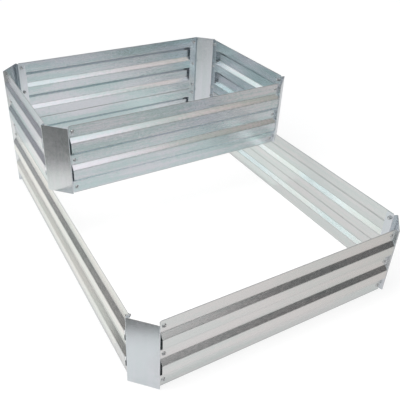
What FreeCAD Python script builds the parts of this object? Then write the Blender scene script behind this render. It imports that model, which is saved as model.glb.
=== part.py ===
import FreeCAD, Part
import math
import os

from FreeCAD import Placement, Rotation, Vector

# Two-tier raised garden bed in galvanised corrugated sheet, millimetres, +Z up.
# Two open rings of four corrugated panels stand one on the other. Folded corner plates are
# bolted behind the ends of the panels: each ring has its own two at the front, and the two at
# the back run up both rings and hold them together. The origin is on the ground in the middle
# of the lower ring, and the front of the bed faces -Y.

os.makedirs("parts", exist_ok=True)

# Rings, measured over the outer faces of the panels' flats
bed_width = 900.0
lower_depth = 1200.0
upper_depth = 590.0
ring_height = 238.0

# Corrugated panels
panel_sheet = 0.8
rib_count = 2
rib_rise = 15.0             # height of each sloping side of a rib
rib_crown = 32.5            # height of the rib's own flat
rib_depth = 12.0            # how far a rib stands out from the flats
between_ribs = 33.0         # height of the flat between two ribs
panel_bend_inside = 1.5     # inside radius of the corrugation's bends

# Corner plates
plate_sheet = 1.0
plate_bend_inside = 1.0
face_setback = 52.5         # from the ring's square corner to the fold of the chamfered face
return_run = 4.0            # length of the plate's return, measured along the panel
panel_end_gap = 2.0         # from the foot of the return to the end of the panel
flange_past_bolt = 15.5     # from the bolt's axis to the flange's free edge
flange_corner_radius = 4.0
plate_edge_gap = 3.0        # the plate stops this short of the panels' top and bottom edges

# Bolts, washers and nuts, M6
bolt_from_panel_end = 10.0
bolt_diameter = 6.0
bolt_past_nut = 3.8
bolt_tip_chamfer = 0.6
head_diameter = 12.0
head_rim = 1.0              # straight edge of the pan head
head_height = 3.9
recess_width = 1.3          # one arm of the cross recess
recess_span = 6.2
recess_depth = 2.2
washer_diameter = 12.0
washer_thickness = 1.4
nut_across_flats = 10.0
nut_face_diameter = 9.5     # round face that the nut's chamfer leaves
nut_height = 5.0
nut_chamfer_angle = 30.0
hole_clearance = 0.3        # radial, shank in the sheet's and the washer's hole
thread_clearance = 0.05     # radial, shank in the nut

# Worked out from the sizes above
rib_height = 2 * rib_rise + rib_crown
rib_pitch = rib_height + between_ribs
edge_flat = (ring_height - rib_count * rib_pitch + between_ribs) / 2
face_stand_out = rib_depth  # the plate's folds are level with the ribs
panel_end = face_setback + return_run + panel_end_gap
bolt_station = panel_end + bolt_from_panel_end
flange_end = bolt_station + flange_past_bolt
hole_radius = bolt_diameter / 2 + hole_clearance
flange_outer = panel_sheet
flange_inner = flange_outer + plate_sheet
bolt_length = flange_inner + washer_thickness + nut_height + bolt_past_nut
back_line = lower_depth / 2

RINGS = {
    "lower": {"base": 0.0, "front_line": back_line - lower_depth},
    "upper": {"base": ring_height, "front_line": back_line - upper_depth},
}
CORNERS = {
    "lower_front_left": {"turn": 0, "x": -bed_width / 2, "rings": ["lower"]},
    "lower_front_right": {"turn": 90, "x": bed_width / 2, "rings": ["lower"]},
    "upper_front_left": {"turn": 0, "x": -bed_width / 2, "rings": ["upper"]},
    "upper_front_right": {"turn": 90, "x": bed_width / 2, "rings": ["upper"]},
    "back_right": {"turn": 180, "x": bed_width / 2, "rings": ["lower", "upper"]},
    "back_left": {"turn": 270, "x": -bed_width / 2, "rings": ["lower", "upper"]},
}


def bolt_heights(ring_count=1):
    """Middle heights of the flats of as many rings as stand one on the other."""
    inner = [edge_flat + n * rib_pitch - between_ribs / 2 for n in range(1, rib_count)]
    in_ring = [edge_flat / 2] + inner + [ring_height - edge_flat / 2]
    return [ring * ring_height + height for ring in range(ring_count) for height in in_ring]


def bolt_hole(spot, way):
    """Cutter for a bolt's hole through the sheets at the spot, in the way of the bolt."""
    return Part.makeCylinder(hole_radius, 2 * bolt_length, spot - way * bolt_length, way)


def sheet_side(spots, along, offset, middle_radius):
    """One side of a folded sheet: the middle line through the spots, moved sideways."""
    normals = [Vector(-step.y, step.x, 0) for step in along]
    start = spots[0] + normals[0] * offset
    edges = []
    for n in range(1, len(spots) - 1):
        before, after = along[n - 1], along[n]
        turn = math.atan2(before.x * after.y - before.y * after.x, before.dot(after))
        way = math.copysign(1, turn)
        trim = middle_radius * math.tan(abs(turn) / 2)
        enter = spots[n] - before * trim
        centre = enter + normals[n - 1] * (middle_radius * way)
        outward = (spots[n] - centre).normalize()
        arc_start = enter + normals[n - 1] * offset
        arc_middle = centre + outward * (middle_radius - offset * way)
        arc_end = spots[n] + after * trim + normals[n] * offset
        edges.append(Part.LineSegment(start, arc_start).toShape())
        edges.append(Part.Arc(arc_start, arc_middle, arc_end).toShape())
        start = arc_end
    edges.append(Part.LineSegment(start, spots[-1] + normals[-1] * offset).toShape())
    return edges


def sheet_section(points, thickness, inside_radius):
    """Cross-section, in XY, of a sheet folded along the corners of its middle line."""
    spots = [Vector(x, y, 0) for x, y in points]
    along = [(b - a).normalize() for a, b in zip(spots[:-1], spots[1:])]
    middle_radius = inside_radius + thickness / 2
    left = sheet_side(spots, along, thickness / 2, middle_radius)
    right = sheet_side(spots, along, -thickness / 2, middle_radius)
    first_cap = Part.LineSegment(right[0].firstVertex().Point, left[0].firstVertex().Point)
    last_cap = Part.LineSegment(left[-1].lastVertex().Point, right[-1].lastVertex().Point)
    outline = left + [last_cap.toShape()] + right[::-1] + [first_cap.toShape()]
    return Part.Face(Part.Wire(outline))


def panel(side_length):
    """Panel with its flats' outer face on Y = 0, its outside towards -Y and its middle on X = 0."""
    flat = -panel_sheet / 2
    crown = flat + rib_depth
    line = [(flat, 0.0)]
    for n in range(rib_count):
        foot = edge_flat + n * rib_pitch
        line.append((flat, foot))
        line.append((crown, foot + rib_rise))
        line.append((crown, foot + rib_rise + rib_crown))
        line.append((flat, foot + rib_height))
    line.append((flat, ring_height))
    length = side_length - 2 * panel_end
    section = sheet_section(line, panel_sheet, panel_bend_inside)
    body = section.extrude(Vector(0, 0, length))
    body.rotate(Vector(0, 0, 0), Vector(1, 0, 0), 90)
    body.rotate(Vector(0, 0, 0), Vector(0, 0, 1), -90)
    body.translate(Vector(length / 2, 0, 0))
    holes = []
    for end in (-1, 1):
        for height in bolt_heights():
            spot = Vector(end * (side_length / 2 - bolt_station), 0, height)
            holes.append(bolt_hole(spot, Vector(0, 1, 0)))
    return body.cut(Part.makeCompound(holes))


def corner_plate(ring_count):
    """Plate of a corner at the origin, whose panels run off along +X and +Y."""
    flange = flange_outer + plate_sheet / 2
    fold = plate_sheet / 2 - face_stand_out
    half = [(flange_end, flange), (face_setback + return_run, flange), (face_setback, fold)]
    line = half + [(y, x) for x, y in reversed(half)]
    height = ring_count * ring_height - 2 * plate_edge_gap
    plate = sheet_section(line, plate_sheet, plate_bend_inside).extrude(Vector(0, 0, height))
    plate.translate(Vector(0, 0, plate_edge_gap))
    plate = plate.makeFillet(flange_corner_radius, flange_corners(plate))
    holes = []
    for height in bolt_heights(ring_count):
        holes.append(bolt_hole(Vector(bolt_station, 0, height), Vector(0, 1, 0)))
        holes.append(bolt_hole(Vector(0, bolt_station, height), Vector(1, 0, 0)))
    return plate.cut(Part.makeCompound(holes))


def flange_corners(plate):
    """The short edges through the sheet at the top and bottom of the flanges' free edges."""
    found = []
    for edge in plate.Edges:
        ends = [vertex.Point for vertex in edge.Vertexes]
        level = abs(ends[0].z - ends[-1].z) < 1e-6
        if level and all(max(end.x, end.y) > flange_end - 1e-6 for end in ends):
            found.append(edge)
    return found


def bolt():
    """Pan-head bolt along Z, with its head on Z = 0 and its shank below."""
    rim = head_diameter / 2
    shank = bolt_diameter / 2
    crown = Vector(0, 0, head_height)
    shoulder = Vector(rim, 0, head_rim)
    dome_rise = head_height - head_rim
    dome_radius = (rim ** 2 + dome_rise ** 2) / (2 * dome_rise)
    half_turn = math.asin(rim / dome_radius) / 2
    dome = Vector(math.sin(half_turn), 0, math.cos(half_turn) - 1) * dome_radius + crown
    foot = Vector(shank, 0, bolt_tip_chamfer - bolt_length)
    tip = Vector(shank - bolt_tip_chamfer, 0, -bolt_length)
    corners = [shoulder, Vector(rim, 0, 0), Vector(shank, 0, 0), foot, tip]
    corners += [Vector(0, 0, -bolt_length), crown]
    edges = [Part.Arc(crown, dome, shoulder).toShape()]
    for start, end in zip(corners[:-1], corners[1:]):
        edges.append(Part.LineSegment(start, end).toShape())
    body = Part.Face(Part.Wire(edges)).revolve(Vector(0, 0, 0), Vector(0, 0, 1), 360)
    arms = []
    for along_x, along_y in ((recess_span, recess_width), (recess_width, recess_span)):
        corner = Vector(-along_x / 2, -along_y / 2, head_height - recess_depth)
        arms.append(Part.makeBox(along_x, along_y, recess_depth, corner))
    return body.cut(Part.makeCompound(arms))


def washer():
    """Washer lying below Z = 0."""
    base = Vector(0, 0, -washer_thickness)
    disc = Part.makeCylinder(washer_diameter / 2, washer_thickness, base)
    return disc.cut(Part.makeCylinder(hole_radius, washer_thickness, base))


def nut():
    """Hexagon nut hanging below Z = 0, with the chamfer of its corners at the far end."""
    corner_radius = nut_across_flats / 2 / math.cos(math.pi / 6)
    turns = [n * math.pi / 3 for n in range(7)]
    rim = [Vector(corner_radius * math.cos(a), corner_radius * math.sin(a), 0) for a in turns]
    body = Part.Face(Part.makePolygon(rim)).extrude(Vector(0, 0, -nut_height))
    face_radius = nut_face_diameter / 2
    wide_radius = face_radius + nut_height / math.tan(math.radians(nut_chamfer_angle))
    base = Vector(0, 0, -nut_height)
    body = body.common(Part.makeCone(face_radius, wide_radius, nut_height, base))
    bore = bolt_diameter / 2 + thread_clearance
    return body.cut(Part.makeCylinder(bore, nut_height, base))


def at_bolts(shape, depth, ring_count):
    """Copies on the bolt axes of a corner at the origin, at a depth behind the panels' face."""
    facing_front = Rotation(Vector(0, 0, 1), Vector(0, -1, 0))
    facing_side = Rotation(Vector(0, 0, 1), Vector(-1, 0, 0))
    copies = []
    for height in bolt_heights(ring_count):
        places = [
            Placement(Vector(bolt_station, depth, height), facing_front),
            Placement(Vector(depth, bolt_station, height), facing_side),
        ]
        for place in places:
            copy = shape.copy()
            copy.Placement = place
            copies.append(copy)
    return Part.makeCompound(copies)


def to_corner(shape, corner):
    """The shape made for a corner at the origin, moved to the corner named."""
    where = CORNERS[corner]
    first_ring = RINGS[where["rings"][0]]
    line = back_line if "back" in corner else first_ring["front_line"]
    moved = shape.copy()
    moved.rotate(Vector(0, 0, 0), Vector(0, 0, 1), where["turn"])
    moved.translate(Vector(where["x"], line, first_ring["base"]))
    return moved


def ring_panels(ring):
    """The four panels of one ring, by side."""
    front = RINGS[ring]["front_line"]
    base = RINGS[ring]["base"]
    depth = back_line - front
    middle = (front + back_line) / 2
    spots = {
        "front": (bed_width, 0, Vector(0, front, base)),
        "right": (depth, 90, Vector(bed_width / 2, middle, base)),
        "back": (bed_width, 180, Vector(0, back_line, base)),
        "left": (depth, 270, Vector(-bed_width / 2, middle, base)),
    }
    panels = {}
    for side, (length, turn, place) in spots.items():
        shape = panel(length)
        shape.rotate(Vector(0, 0, 0), Vector(0, 0, 1), turn)
        shape.translate(place)
        panels[side] = shape
    return panels


def export(shape, node):
    shape.exportStep("parts/" + node + ".step")


for ring in RINGS:
    for side, shape in ring_panels(ring).items():
        export(shape, ring + "_" + side + "_panel")

for corner in CORNERS:
    ring_count = len(CORNERS[corner]["rings"])
    pieces = {
        "plate": corner_plate(ring_count),
        "bolts": at_bolts(bolt(), 0.0, ring_count),
        "washers": at_bolts(washer(), flange_inner, ring_count),
        "nuts": at_bolts(nut(), flange_inner + washer_thickness, ring_count),
    }
    for piece, shape in pieces.items():
        export(to_corner(shape, corner), corner + "_" + piece)
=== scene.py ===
import math

import bmesh
import bpy
from mathutils import Matrix, Vector


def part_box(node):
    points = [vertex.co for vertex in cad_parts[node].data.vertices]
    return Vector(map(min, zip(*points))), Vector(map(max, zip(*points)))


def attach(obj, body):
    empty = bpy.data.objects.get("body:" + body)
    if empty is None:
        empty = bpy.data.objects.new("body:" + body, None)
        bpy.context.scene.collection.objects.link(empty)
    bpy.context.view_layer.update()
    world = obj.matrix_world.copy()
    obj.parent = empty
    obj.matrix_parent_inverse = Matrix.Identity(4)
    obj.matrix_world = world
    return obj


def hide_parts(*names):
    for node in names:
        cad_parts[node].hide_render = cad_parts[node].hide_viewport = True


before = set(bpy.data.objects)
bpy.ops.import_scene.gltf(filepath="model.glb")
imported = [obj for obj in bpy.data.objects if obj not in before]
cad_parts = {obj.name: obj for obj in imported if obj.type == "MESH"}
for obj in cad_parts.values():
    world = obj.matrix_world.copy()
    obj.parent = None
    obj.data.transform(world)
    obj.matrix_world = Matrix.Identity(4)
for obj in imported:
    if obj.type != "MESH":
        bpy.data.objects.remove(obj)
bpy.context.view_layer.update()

MM = 0.001

# Rings and plates, as in the CAD model
RING_HEIGHT = 238 * MM
FLAT_MIDDLES = (20 * MM, 119 * MM, 218 * MM)
PLATE_EDGE_GAP = 3 * MM
FLANGE_END = 84 * MM
BOLT_STATION = 68.5 * MM
SHEETS_THICKNESS = 1.8 * MM

# Fasteners
HEAD_RADIUS = 6 * MM
HEAD_RIM = 1.0 * MM
HEAD_HEIGHT = 3.9 * MM
HEAD_EDGE = 0.15 * MM
HEAD_SIDES = 24
CROWN_RING = 3.7 * MM
DOME_RINGS = (4.6 * MM, 5.3 * MM)
RECESS_ARM = 1.3 * MM
RECESS_SPAN = 6.2 * MM
RECESS_DEPTH = 2.2 * MM
RECESS_TAPER = 0.72
SHANK_RADIUS = 3 * MM
ROOT_RADIUS = 2.55 * MM
THREAD_PITCH = 1.0 * MM
BOLT_LENGTH = 12 * MM
THREAD_LENGTH = 9 * MM
THREAD_RUNOUT = 0.4 * MM
THREAD_ENDS = 0.8 * MM
THREAD_SINK = 0.15 * MM
THREAD_STEPS = 14
RIDGE_HALF_WIDTH = 0.48
TIP_CHAMFER = 0.6 * MM
WASHER_RADIUS = 6 * MM
WASHER_HOLE = 3.3 * MM
WASHER_THICKNESS = 1.4 * MM
WASHER_EDGE = 0.15 * MM
WASHER_SIDES = 32
NUT_FLATS = 10 * MM
NUT_FACE_RADIUS = 4.75 * MM
NUT_HEIGHT = 5 * MM
NUT_BORE = 3.05 * MM
NUT_COUNTERSINK = 3.35 * MM
NUT_CHAMFER = math.radians(30)
NUT_SIDES = 36
GOLDEN_TURN = math.radians(137.5)
SHARP_EDGE = math.radians(32)

# Galvanised sheet: each noise has its scale along the sheet, its scale across it, and its detail
CRYSTAL_SCALE = 130.0
STREAKS = (1.3, 170.0, 2.0)
BANDS = (3.2, 22.0, 1.0)
WAVES = (1.6, 9.0, 0.0)
GRAIN_SHARE = 0.10
STREAK_SHARE = 0.26
BAND_SHARE = 0.64
TINT_SPAN = (0.42, 0.58)
GLOSS_SPAN = (0.3, 1.5)
SHEET_ROUGHNESS = (0.21, 0.27)
EDGE_AND_BEND_ROUGHNESS = 0.15
RELIEF_DEPTH = 1.0 * MM
STREAK_RELIEF = 0.006
SHEAR_WEAR = 2.4 * MM
SHEAR_WEAR_CORE = 0.4
# Painted shade along the bends of the ribs: its width, its solid core and its strength
BEND_SHADE_WIDTH = 1.6 * MM
BEND_SHADE_CORE = 0.3
BEND_SHADE_SHARE = 0.4
BEND_HEIGHTS = (40 * MM, 55 * MM, 87.5 * MM, 102.5 * MM)
# Dull zinc of the sheared edges, also the colour of the painted shade along the bends
SHEARED_ZINC_AND_CREASE_SHADE = (0.42, 0.45, 0.46, 1)
# Per tier: zinc's own colour, with the upper tier's teal and the lower tier's cream painted in as
# reflection
UPPER_ZINC_AND_REFLECTION_TINT = ((0.585, 0.69, 0.705, 1), (0.725, 0.74, 0.785, 1))
LOWER_ZINC_AND_REFLECTION_TINT = ((0.73, 0.77, 0.76, 1), (0.79, 0.79, 0.785, 1))
PLATE_ZINC = ((0.70, 0.75, 0.775, 1), (0.745, 0.77, 0.81, 1))

# Zinc plating on the fasteners
BRIGHT_PLATING = ((0.50, 0.52, 0.53, 1), (0.74, 0.75, 0.76, 1))
DARK_PLATING = ((0.36, 0.37, 0.38, 1), (0.64, 0.65, 0.66, 1))
PLATING_GRAIN = 900.0
PLATING_PATCHES = 160.0
PATCH_SPAN = (0.3, 0.7)
PLATING_ROUGHNESS = (0.20, 0.32)
PLATING_RELIEF = 0.04 * MM

# Studio
HALL_RADIUS = 12.0
WINDOW_RADIUS = 11.4
WALL_STEP = 7.5
GROUND_HEIGHT = 0.003
DARK_GROUND_HEIGHT = 0.002
FLOOR_REACH = 30
FLOOR_PAPER = (0.25, 0.247, 0.244, 1)
WHITE = (1, 1, 1, 1)
PLAIN_LIGHT = (0.93, 0.97, 1, 1)
PLAIN_LEVEL = 0.6
LIFT_IN_METAL = 0.53
LIFT_NEAR = 0.80
LIFT_FAR = 0.865
FADE_START = 0.9
FADE_END = 2.6

# Camera: where it stands, how it is turned, and the photograph's frame in pixels
CAMERA_PLACE = Vector((-0.8041, -1.3920, 1.2004))
CAMERA_YAW = 0.5059
CAMERA_PITCH = 0.5494
CAMERA_ROLL = 0.0247
SENSOR = 36.0
FRAME_SIZE = 400
FOCAL_LENGTH = 534.45
OPTICAL_CENTRE = (174.07, 171.44)


# ---------------------------------------------------------------- node helpers

def add(tree, kind, values=None, **settings):
    """A shader node, with its settings, and its inputs given as numbers or as sockets to link."""
    made = tree.nodes.new(kind)
    for key, value in settings.items():
        setattr(made, key, value)
    for key, value in (values or {}).items():
        socket = made.inputs[key]
        if isinstance(value, bpy.types.NodeSocket):
            tree.links.new(value, socket)
        else:
            socket.default_value = value
    return made


def new_material(name):
    """A material with an empty node tree, and that tree."""
    material = bpy.data.materials.new(name)
    material.use_nodes = True
    material.node_tree.nodes.clear()
    return material, material.node_tree


def math_of(tree, operation, a, b=0.0):
    return add(tree, "ShaderNodeMath", {0: a, 1: b}, operation=operation).outputs[0]


def ranged(tree, value, low, high, to_low, to_high):
    """The value's range from low to high, stretched to a new range."""
    found = {"Value": value, "From Min": low, "From Max": high, "To Min": to_low, "To Max": to_high}
    return add(tree, "ShaderNodeMapRange", found).outputs[0]


def blended(tree, factor, dark, light):
    """Factor, A and B of a colour mix are its inputs 0, 6 and 7."""
    return add(tree, "ShaderNodeMix", {0: factor, 6: dark, 7: light}, data_type="RGBA").outputs[2]


def noise_along(tree, long_axis, shape):
    """Noise drawn out along one axis of the object."""
    along, across, detail = shape
    scale = [across, across, across]
    scale[long_axis] = along
    place = add(tree, "ShaderNodeTexCoord").outputs["Object"]
    vector = add(tree, "ShaderNodeMapping", {"Vector": place, "Scale": scale}).outputs["Vector"]
    return add(tree, "ShaderNodeTexNoise", {
        "Vector": vector, "Scale": 1.0, "Detail": detail}).outputs["Fac"]


# ---------------------------------------------------------------- finishes

def zinc_sheet(name, long_axis, teal, silver):
    """Hot-dip galvanised sheet: faint crystals, rolling streaks along it, and slow waves in it."""
    material, tree = new_material(name)
    place = add(tree, "ShaderNodeTexCoord").outputs["Object"]
    crystals = add(tree, "ShaderNodeTexVoronoi", {"Vector": place, "Scale": CRYSTAL_SCALE})
    grain = add(tree, "ShaderNodeSeparateColor", {"Color": crystals.outputs["Color"]}).outputs[0]
    streaks = noise_along(tree, long_axis, STREAKS)
    bands = noise_along(tree, long_axis, BANDS)
    waves = noise_along(tree, long_axis, WAVES)

    shade = math_of(tree, "MULTIPLY", grain, GRAIN_SHARE)
    for part, share in ((streaks, STREAK_SHARE), (bands, BAND_SHARE)):
        shade = math_of(tree, "ADD", shade, math_of(tree, "MULTIPLY", part, share))
    colour = blended(tree, ranged(tree, shade, *TINT_SPAN, 0.0, 1.0), teal, silver)
    roughness = ranged(tree, math_of(tree, "ADD", grain, bands), *GLOSS_SPAN, *SHEET_ROUGHNESS)
    if long_axis < 2:
        # sheared edges turn dull zinc, and the bends of the ribs get painted shade in the same colour
        wear_and_crease_shade = panel_wear_and_crease_shade(tree, place)
        colour = blended(tree, wear_and_crease_shade, colour, SHEARED_ZINC_AND_CREASE_SHADE)
        rougher = math_of(tree, "MULTIPLY", wear_and_crease_shade, EDGE_AND_BEND_ROUGHNESS)
        roughness = math_of(tree, "ADD", roughness, rougher)

    relief = math_of(tree, "ADD", waves, math_of(tree, "MULTIPLY", streaks, STREAK_RELIEF))
    bump = add(tree, "ShaderNodeBump", {
        "Height": relief, "Strength": 1.0, "Distance": RELIEF_DEPTH}).outputs["Normal"]
    shader = add(tree, "ShaderNodeBsdfPrincipled", {
        "Base Color": colour, "Metallic": 1.0, "Roughness": roughness, "Normal": bump})
    add(tree, "ShaderNodeOutputMaterial", {"Surface": shader.outputs["BSDF"]})
    return material


def panel_wear_and_crease_shade(tree, place):
    """Dull zinc on a panel's sheared long edges, and painted shade, a faint dark line, along the
    bends of its ribs.
    """
    height = add(tree, "ShaderNodeSeparateXYZ", {0: place}).outputs[2]
    from_edge = math_of(tree, "PINGPONG", height, RING_HEIGHT / 2)
    wear_and_crease_shade = ranged(tree, from_edge, SHEAR_WEAR * SHEAR_WEAR_CORE, SHEAR_WEAR, 1.0, 0.0)
    for bend in BEND_HEIGHTS:
        away = math_of(tree, "ABSOLUTE", math_of(tree, "SUBTRACT", from_edge, bend))
        crease_shade = ranged(tree, away, BEND_SHADE_WIDTH * BEND_SHADE_CORE, BEND_SHADE_WIDTH, BEND_SHADE_SHARE, 0.0)
        wear_and_crease_shade = math_of(tree, "MAXIMUM", wear_and_crease_shade, crease_shade)
    return wear_and_crease_shade


def plated_steel(name, dull, clean):
    """Zinc plating on the fasteners, with a fine grain and duller patches."""
    material, tree = new_material(name)
    place = add(tree, "ShaderNodeTexCoord").outputs["Object"]
    grain = add(tree, "ShaderNodeTexNoise", {
        "Vector": place, "Scale": PLATING_GRAIN, "Detail": 3.0}).outputs["Fac"]
    patches = add(tree, "ShaderNodeTexNoise", {
        "Vector": place, "Scale": PLATING_PATCHES, "Detail": 2.0}).outputs["Fac"]
    colour = blended(tree, patches, dull, clean)
    roughness = ranged(tree, patches, *PATCH_SPAN, *PLATING_ROUGHNESS)
    bump = add(tree, "ShaderNodeBump", {
        "Height": grain, "Strength": 0.3, "Distance": PLATING_RELIEF}).outputs["Normal"]
    shader = add(tree, "ShaderNodeBsdfPrincipled", {
        "Base Color": colour, "Metallic": 1.0, "Roughness": roughness, "Normal": bump})
    add(tree, "ShaderNodeOutputMaterial", {"Surface": shader.outputs["BSDF"]})
    return material


# ---------------------------------------------------------------- fasteners

def ring(bm, radius, height, count):
    """A loop of edges round Z."""
    made = bmesh.ops.create_circle(bm, segments=count, radius=radius)["verts"]
    bmesh.ops.translate(bm, verts=made, vec=(0, 0, height))
    return made


def loop_edges(verts):
    """The edges that join these vertices to each other."""
    found = set(verts)
    return [edge for edge in {e for v in verts for e in v.link_edges}
            if edge.verts[0] in found and edge.verts[1] in found]


def bridge(bm, rings):
    """Faces between each ring and the next."""
    for near, far in zip(rings[:-1], rings[1:]):
        bmesh.ops.bridge_loops(bm, edges=loop_edges(near) + loop_edges(far))


def turned(profile, count):
    """A closed outline of radii and heights, spun a full turn round Z."""
    bm = bmesh.new()
    verts = [bm.verts.new((radius, 0, height)) for radius, height in profile]
    edges = [bm.edges.new(pair) for pair in zip(verts, verts[1:] + verts[:1])]
    bmesh.ops.spin(bm, geom=verts + edges, cent=(0, 0, 0), axis=(0, 0, 1), angle=2 * math.pi,
                   steps=count, use_merge=True)
    return bm


def washer_mesh():
    """A flat ring with rounded rims, its upper face at height 0."""
    e = WASHER_EDGE
    shape = [(WASHER_HOLE, -e), (WASHER_HOLE + e, 0), (WASHER_RADIUS - e, 0), (WASHER_RADIUS, -e),
             (WASHER_RADIUS, e - WASHER_THICKNESS), (WASHER_RADIUS - e, -WASHER_THICKNESS),
             (WASHER_HOLE + e, -WASHER_THICKNESS), (WASHER_HOLE, e - WASHER_THICKNESS)]
    return turned(shape, WASHER_SIDES)


def nut_mesh():
    """A turned ring whose outer wall is then drawn in to six flats, with chamfered corners."""
    corner = NUT_FLATS / 2 / math.cos(math.pi / 6)
    sink = NUT_COUNTERSINK - NUT_BORE
    bm = turned([(NUT_BORE, -sink), (NUT_COUNTERSINK, 0), (NUT_FACE_RADIUS, 0), (corner, 0),
                 (corner, -NUT_HEIGHT), (NUT_FACE_RADIUS, -NUT_HEIGHT),
                 (NUT_COUNTERSINK, -NUT_HEIGHT), (NUT_BORE, sink - NUT_HEIGHT)], NUT_SIDES)
    for vert in bm.verts:
        if vert.co.xy.length < (NUT_FACE_RADIUS + corner) / 2:
            continue
        turn = math.atan2(vert.co.y, vert.co.x) % (math.pi / 3) - math.pi / 6
        reach = NUT_FLATS / 2 / math.cos(turn) / corner
        vert.co.x *= reach
        vert.co.y *= reach
        drop = (vert.co.xy.length - NUT_FACE_RADIUS) * math.tan(NUT_CHAMFER)
        vert.co.z += drop if vert.co.z < -NUT_HEIGHT / 2 else -drop
    return bm


def dome_height(radius):
    """The height of a bolt head's dome at a distance from its middle."""
    rise = HEAD_HEIGHT - HEAD_RIM
    ball = (HEAD_RADIUS ** 2 + rise ** 2) / (2 * rise)
    return HEAD_HEIGHT - ball + math.sqrt(ball ** 2 - radius ** 2)


def cross_loop(bm):
    """The outline of the cross recess on the dome."""
    arm = RECESS_ARM / 2
    tip = RECESS_SPAN / 2
    corners = []
    for quarter in range(4):
        turn = Matrix.Rotation(quarter * math.pi / 2, 2)
        for spot in ((tip, -arm), (tip, arm), (arm, arm)):
            x, y = turn @ Vector(spot)
            corners.append(bm.verts.new((x, y, dome_height(math.hypot(x, y)))))
    for near, far in zip(corners, corners[1:] + corners[:1]):
        bm.edges.new((near, far))
    return corners


def bolt_mesh():
    """A domed head with a sunk cross, and a threaded shank, with the head's seat at height 0."""
    bm = bmesh.new()
    crown = ring(bm, CROWN_RING, dome_height(CROWN_RING), HEAD_SIDES)
    cross = cross_loop(bm)
    bmesh.ops.triangle_fill(bm, edges=loop_edges(crown) + loop_edges(cross), use_beauty=True)
    sunk = bmesh.ops.extrude_edge_only(bm, edges=[e for e in loop_edges(cross)
                                                  if all(v in cross for v in e.verts)
                                                  and len(e.link_faces) == 1])
    floor = [g for g in sunk["geom"] if isinstance(g, bmesh.types.BMVert)]
    for vert in floor:
        vert.co.x *= RECESS_TAPER
        vert.co.y *= RECESS_TAPER
        vert.co.z = HEAD_HEIGHT - RECESS_DEPTH
    bmesh.ops.contextual_create(bm, geom=[e for e in loop_edges(floor) if len(e.link_faces) == 1])
    thread_top = THREAD_LENGTH - BOLT_LENGTH
    outline = [(radius, dome_height(radius)) for radius in (*DOME_RINGS, HEAD_RADIUS)]
    outline += [(HEAD_RADIUS, HEAD_EDGE), (HEAD_RADIUS - HEAD_EDGE, 0), (SHANK_RADIUS, 0),
                (SHANK_RADIUS, thread_top), (ROOT_RADIUS, thread_top - THREAD_RUNOUT),
                (ROOT_RADIUS, TIP_CHAMFER - BOLT_LENGTH), (ROOT_RADIUS - TIP_CHAMFER, -BOLT_LENGTH)]
    rings = [crown] + [ring(bm, radius, height, HEAD_SIDES) for radius, height in outline]
    bridge(bm, rings)
    tip = [e for e in loop_edges(rings[-1]) if len(e.link_faces) == 1]
    bmesh.ops.contextual_create(bm, geom=tip)
    add_thread(bm)
    return bm


def add_thread(bm):
    """A helical ridge on the shank, as one closed coil of three-cornered section."""
    turns = (THREAD_LENGTH - THREAD_ENDS - TIP_CHAMFER) / THREAD_PITCH
    base = ROOT_RADIUS - THREAD_SINK
    start = TIP_CHAMFER + THREAD_RUNOUT - BOLT_LENGTH
    half = THREAD_PITCH * RIDGE_HALF_WIDTH
    section = [bm.verts.new(spot) for spot in (
        (base, 0, start - half), (SHANK_RADIUS, 0, start), (base, 0, start + half))]
    face = bm.faces.new(section)
    bmesh.ops.spin(bm, geom=[face] + list(face.edges) + section, cent=(0, 0, 0), axis=(0, 0, 1),
                   dvec=(0, 0, THREAD_PITCH / THREAD_STEPS), angle=2 * math.pi * turns,
                   steps=round(turns * THREAD_STEPS), use_duplicate=False)


def bolt_axes(plate):
    """Places on the panels' outer faces where a plate's bolts go, and the ways that they face."""
    low, high = (Vector(corner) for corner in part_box(plate))
    side = -1 if low.x < 0 else 1
    end = -1 if "front" in plate else 1
    corner_x = (high.x if side < 0 else low.x) + side * FLANGE_END
    corner_y = (high.y if end < 0 else low.y) + end * FLANGE_END
    base = low.z - PLATE_EDGE_GAP
    axes = []
    for ring_number in range(round((high.z - low.z) / RING_HEIGHT)):
        for middle in FLAT_MIDDLES:
            height = base + ring_number * RING_HEIGHT + middle
            on_end = Vector((corner_x - side * BOLT_STATION, corner_y, height))
            on_side = Vector((corner_x, corner_y - end * BOLT_STATION, height))
            axes.append((on_end, Vector((0, end, 0))))
            axes.append((on_side, Vector((side, 0, 0))))
    return axes


def on_axes(name, node, source, axes, depth, material):
    """One piece with a copy of the source on each axis, in place of the CAD node."""
    merged = bmesh.new()
    plain = bpy.data.meshes.new("plain")
    source.to_mesh(plain)
    for number, (place, out) in enumerate(axes):
        aim = out.to_track_quat("Z", "Y").to_matrix().to_4x4()
        turn = Matrix.Rotation(number * GOLDEN_TURN, 4, "Z")
        copy = plain.copy()
        copy.transform(Matrix.Translation(place - out * depth) @ aim @ turn)
        merged.from_mesh(copy)
        bpy.data.meshes.remove(copy)
    mesh = bpy.data.meshes.new(name)
    merged.to_mesh(mesh)
    merged.free()
    bpy.data.meshes.remove(plain)
    mesh.shade_smooth()
    mesh.set_sharp_from_angle(angle=SHARP_EDGE)
    mesh.materials.append(material)
    piece = bpy.data.objects.new(name, mesh)
    bpy.context.collection.objects.link(piece)
    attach(piece, "root")
    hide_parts(node)


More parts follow.
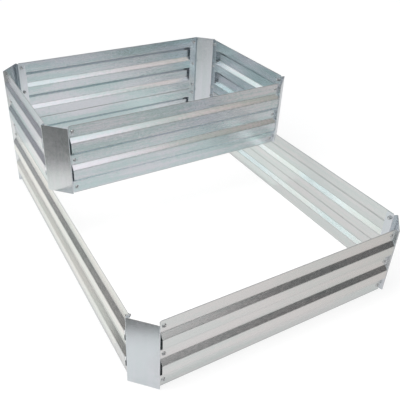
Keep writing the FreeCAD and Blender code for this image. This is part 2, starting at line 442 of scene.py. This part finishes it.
def fit_fasteners():
    """Detailed bolts, washers and nuts in place of the CAD ones at every corner plate."""
    bright = plated_steel("bright_zinc_plating", *BRIGHT_PLATING)
    dark = plated_steel("dark_zinc_plating", *DARK_PLATING)
    sources = {
        "bolts": (bolt_mesh(), 0.0, bright),
        "washers": (washer_mesh(), SHEETS_THICKNESS, bright),
        "nuts": (nut_mesh(), SHEETS_THICKNESS + WASHER_THICKNESS, dark),
    }
    for source, _, _ in sources.values():
        bmesh.ops.recalc_face_normals(source, faces=source.faces)
    for plate in [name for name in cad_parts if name.endswith("_plate")]:
        corner = plate.removesuffix("_plate")
        axes = bolt_axes(plate)
        for kind, (source, depth, material) in sources.items():
            node = corner + "_" + kind
            on_axes("detailed_" + node, node, source, axes, depth, material)


# ---------------------------------------------------------------- sheets

def finish_sheets():
    """Panels and plates keep their CAD shape and get their galvanised finish."""
    finishes = {"plate": zinc_sheet("zinc_plates", 2, *PLATE_ZINC)}
    for tier, tints in (("upper", UPPER_ZINC_AND_REFLECTION_TINT), ("lower", LOWER_ZINC_AND_REFLECTION_TINT)):
        for axis, letter in enumerate("xy"):
            finishes[tier + letter] = zinc_sheet(tier + "_zinc_along_" + letter, axis, *tints)
    for name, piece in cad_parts.items():
        if name.endswith("_plate"):
            finish = "plate"
        elif name.endswith("_panel"):
            # the lower back panel stands under the upper one and reads as part of its wall, so it
            # takes the upper tier's tint with its painted reflection
            tier = "upper" if name == "lower_back_panel" else name.split("_")[0]
            finish = tier + ("x" if "_front_" in name or "_back_" in name else "y")
        else:
            continue
        piece.data.materials.clear()
        piece.data.materials.append(finishes[finish])


# ---------------------------------------------------------------- studio

def bearing(azimuth, reach, height):
    """A place around the set: azimuth in degrees from the front, and positive to the right."""
    turn = math.radians(azimuth)
    return Vector((reach * math.sin(turn), -reach * math.cos(turn), height))


def only_in_metal(name, bm, axis, low_tone, high_tone, low, high):
    """A board of the studio that only the metal shows, with its tone running along one axis."""
    mesh = bpy.data.meshes.new(name)
    bm.to_mesh(mesh)
    bm.free()
    material, tree = new_material(name)
    tone = low_tone
    if high_tone != low_tone:
        place = add(tree, "ShaderNodeTexCoord").outputs["Object"]
        along = add(tree, "ShaderNodeSeparateXYZ", {0: place}).outputs[axis]
        tone = blended(tree, ranged(tree, along, low, high, 0.0, 1.0), low_tone, high_tone)
    glow = add(tree, "ShaderNodeEmission", {"Color": tone, "Strength": 1.0})
    add(tree, "ShaderNodeOutputMaterial", {"Surface": glow.outputs["Emission"]})
    mesh.materials.append(material)
    board = bpy.data.objects.new(name, mesh)
    bpy.context.collection.objects.link(board)
    board.visible_camera = False
    board.visible_diffuse = False
    board.visible_transmission = False
    board.visible_shadow = False


def curved_wall(name, start, end, low_angle, high_angle, low_tone, high_tone, radius=HALL_RADIUS):
    """A wall round part of the hall, between two azimuths and two angles above the horizon."""
    low = radius * math.tan(math.radians(low_angle))
    high = radius * math.tan(math.radians(high_angle))
    steps = max(2, round((end - start) / WALL_STEP))
    bm = bmesh.new()
    foot = bm.verts.new(bearing(start, radius, low))
    top = bm.verts.new(bearing(start, radius, high))
    edge = bm.edges.new((foot, top))
    bmesh.ops.spin(bm, geom=[edge, foot, top], cent=(0, 0, 0), axis=(0, 0, 1),
                   angle=math.radians(end - start), steps=steps)
    only_in_metal(name, bm, 2, low_tone, high_tone, low, high)


def flat_board(name, corners, left_tone, right_tone, left=-1.0, right=1.0):
    """A flat board whose tone runs along X between the places left and right."""
    bm = bmesh.new()
    bm.faces.new([bm.verts.new(corner) for corner in corners])
    only_in_metal(name, bm, 0, left_tone, right_tone, left, right)


def lay_ground(name, outline, left_tone, right_tone, height=GROUND_HEIGHT, **reach):
    """A flat board just above the floor, from its outline in plan."""
    flat_board(name, [(x, y, height) for x, y in outline], left_tone, right_tone, **reach)


def hang_studio():
    """The hall that the metal shows: dark low walls, grey higher up, bright windows, and ground, with
    painted light and shade on the ground near the bed.
    """
    dark = (0.07, 0.07, 0.075, 1)
    dim = (0.25, 0.245, 0.24, 1)
    grey = (0.78, 0.675, 0.605, 1)
    pale = (0.62, 0.585, 0.56, 1)
    window = (2.2, 2.25, 2.2, 1)
    sky = (1.25, 1.2, 1.22, 1)
    milky = (0.86, 0.88, 0.87, 1)
    bright = (1.75, 1.8, 1.72, 1)
    hazy = (0.68, 0.69, 0.67, 1)
    mist = (0.36, 0.36, 0.38, 1)
    painted_light_cream = (0.99, 0.97, 0.93, 1)
    kerb_tone = (1.05, 1.03, 0.97, 1)
    shade = (0.17, 0.17, 0.165, 1)
    back_floor = (0.60, 0.60, 0.61, 1)
    shaded_floor_left = (0.81, 0.79, 0.79, 1)
    shaded_floor_right = (0.61, 0.575, 0.55, 1)
    curved_wall("low_wall", -143, 180, 0.0, 24.0, dim, dark)
    curved_wall("back_wall", -180, -143, 0.0, 24.0, mist, mist)
    curved_wall("right_wall", 27, 125, 24.0, 42.0, dark, grey)
    curved_wall("right_wall_top", 34, 165, 42.0, 60.0, grey, pale)
    curved_wall("left_wall", -85, -22, 24.0, 48.0, dark, pale)
    curved_wall("window", -75, -28, 14.0, 39.0, window, window, WINDOW_RADIUS)
    curved_wall("front_skylight", -20, 25, 38.0, 64.0, sky, sky)
    curved_wall("front_skylight_end", 25, 32, 42.0, 64.0, sky, sky)
    curved_wall("left_skylight", -155, -124, 20.0, 45.0, milky, bright, WINDOW_RADIUS)
    curved_wall("left_lower_skylight", -124, -105, 20.0, 45.0, hazy, hazy, WINDOW_RADIUS)
    flat_board("kerb", [(-1.0, 0.0, 0.0), (-1.0, 1.7, 0.0), (-1.0, 1.7, 0.15), (-1.0, 0.0, 0.15)],
               kerb_tone, kerb_tone)
    # Painted light: a bright cream patch on the ground left of the bed, shown only in the metal, in
    # place of the bed's shadow there
    lay_ground("cream_ground", [(-0.48, -0.42), (-0.48, 0.85), (-0.96, 0.85), (-0.96, -0.12),
                                (-0.76, -0.42)], painted_light_cream, painted_light_cream)
    lay_ground("dark_ground", [(-0.58, -0.68), (-1.98, 1.46), (-9.0, 1.46), (-9.0, -8.0),
                               (4.28, -8.0)], shade, shade, height=DARK_GROUND_HEIGHT)
    # Painted light: a milky patch on the ground inside the bed, shown only in the metal, where the
    # floor lies in the upper tier's shadow
    lay_ground("right_ground", [(0.24, 0.04), (0.44, 0.04), (0.44, 0.36), (0.24, 0.36)], milky, milky)
    lay_ground("back_ground", [(-3.0, 1.4), (0.0, 1.4), (0.0, 4.0), (-3.0, 4.0)],
               back_floor, back_floor)
    # Painted shade: the ground in front of the bed, shown only in the metal, grey and darker towards
    # the right
    lay_ground("front_ground", [(-0.5, -0.62), (-0.5, -0.8), (1.36, -3.6), (3.0, -3.6),
                                (3.0, -0.62)], shaded_floor_left, shaded_floor_right, left=-0.3, right=0.9)


def lay_floor():
    """A pale floor, white to the camera, that keeps the bed's shadow and fades out far from it."""
    bm = bmesh.new()
    bmesh.ops.create_grid(bm, x_segments=1, y_segments=1, size=FLOOR_REACH)
    mesh = bpy.data.meshes.new("floor")
    bm.to_mesh(mesh)
    bm.free()
    material, tree = new_material("floor")
    path = add(tree, "ShaderNodeLightPath")
    place = add(tree, "ShaderNodeTexCoord").outputs["Object"]
    away = add(tree, "ShaderNodeVectorMath", {0: place}, operation="LENGTH").outputs["Value"]
    to_camera = ranged(tree, away, FADE_START, FADE_END, LIFT_NEAR, LIFT_FAR)
    paper = add(tree, "ShaderNodeBsdfDiffuse", {"Color": FLOOR_PAPER})
    glossy = path.outputs["Is Glossy Ray"]
    mirrored = math_of(tree, "MAXIMUM", glossy, path.outputs["Is Transmission Ray"])
    lift = math_of(tree, "ADD", math_of(tree, "MULTIPLY", mirrored, LIFT_IN_METAL),
                   math_of(tree, "MULTIPLY", path.outputs["Is Camera Ray"], to_camera))
    white = add(tree, "ShaderNodeEmission", {"Color": WHITE, "Strength": lift})
    both = add(tree, "ShaderNodeAddShader", {0: paper.outputs[0], 1: white.outputs[0]})
    add(tree, "ShaderNodeOutputMaterial", {"Surface": both.outputs[0]})
    mesh.materials.append(material)
    floor = bpy.data.objects.new("floor", mesh)
    bpy.context.collection.objects.link(floor)


def light_world():
    """White to the camera and in the metal, and a plain level of light for the rest."""
    world = bpy.data.worlds.new("studio")
    bpy.context.scene.world = world
    world.use_nodes = True
    tree = world.node_tree
    tree.nodes.clear()
    path = add(tree, "ShaderNodeLightPath")
    shown = math_of(tree, "MAXIMUM", path.outputs["Is Camera Ray"], path.outputs["Is Glossy Ray"])
    shown = math_of(tree, "MAXIMUM", shown, path.outputs["Is Transmission Ray"])
    plain = add(tree, "ShaderNodeBackground", {"Color": PLAIN_LIGHT, "Strength": PLAIN_LEVEL})
    white = add(tree, "ShaderNodeBackground", {"Color": WHITE, "Strength": 1.0})
    mix = add(tree, "ShaderNodeMixShader", {0: shown, 1: plain.outputs[0], 2: white.outputs[0]})
    add(tree, "ShaderNodeOutputWorld", {"Surface": mix.outputs[0]})


def soft_lamp(name, place, target, size, power, colour):
    """A square lamp that the camera and the metal don't show."""
    data = bpy.data.lights.new(name, "AREA")
    data.shape = "SQUARE"
    data.size = size
    data.energy = power
    data.color = colour
    lamp = bpy.data.objects.new(name, data)
    bpy.context.collection.objects.link(lamp)
    lamp.location = place
    lamp.rotation_euler = (Vector(target) - Vector(place)).to_track_quat("-Z", "Y").to_euler()
    lamp.visible_camera = False
    lamp.visible_glossy = False


def set_camera():
    """The camera at the photograph's viewing angle; the shifts put the optical centre in place."""
    sin, cos = math.sin, math.cos
    ahead = Vector((sin(CAMERA_YAW) * cos(CAMERA_PITCH), cos(CAMERA_YAW) * cos(CAMERA_PITCH),
                    -sin(CAMERA_PITCH)))
    right = Vector((cos(CAMERA_YAW), -sin(CAMERA_YAW), 0))
    up = right.cross(ahead)
    turned_right = right * cos(CAMERA_ROLL) + up * sin(CAMERA_ROLL)
    turned_up = up * cos(CAMERA_ROLL) - right * sin(CAMERA_ROLL)
    data = bpy.data.cameras.new("camera")
    data.sensor_width = SENSOR
    data.sensor_fit = "HORIZONTAL"
    data.lens = FOCAL_LENGTH / FRAME_SIZE * SENSOR
    data.shift_x = (FRAME_SIZE / 2 - OPTICAL_CENTRE[0]) / FRAME_SIZE
    data.shift_y = (OPTICAL_CENTRE[1] - FRAME_SIZE / 2) / FRAME_SIZE
    camera = bpy.data.objects.new("camera", data)
    bpy.context.collection.objects.link(camera)
    axes = Matrix((turned_right, turned_up, -ahead)).transposed()
    camera.matrix_world = Matrix.Translation(CAMERA_PLACE) @ axes.to_4x4()
    bpy.context.scene.camera = camera


finish_sheets()
fit_fasteners()
lay_floor()
light_world()
hang_studio()
soft_lamp("key", place=(-0.7, -0.35, 1.55), target=(-0.5, -0.2, 0), size=0.8, power=20,
          colour=(1, 0.99, 0.98))
soft_lamp("top", place=(0.25, -0.25, 2.0), target=(0.25, -0.2, 0), size=0.8, power=7,
          colour=(1, 1, 1))
set_camera()

bpy.context.scene.view_settings.view_transform = "Standard"
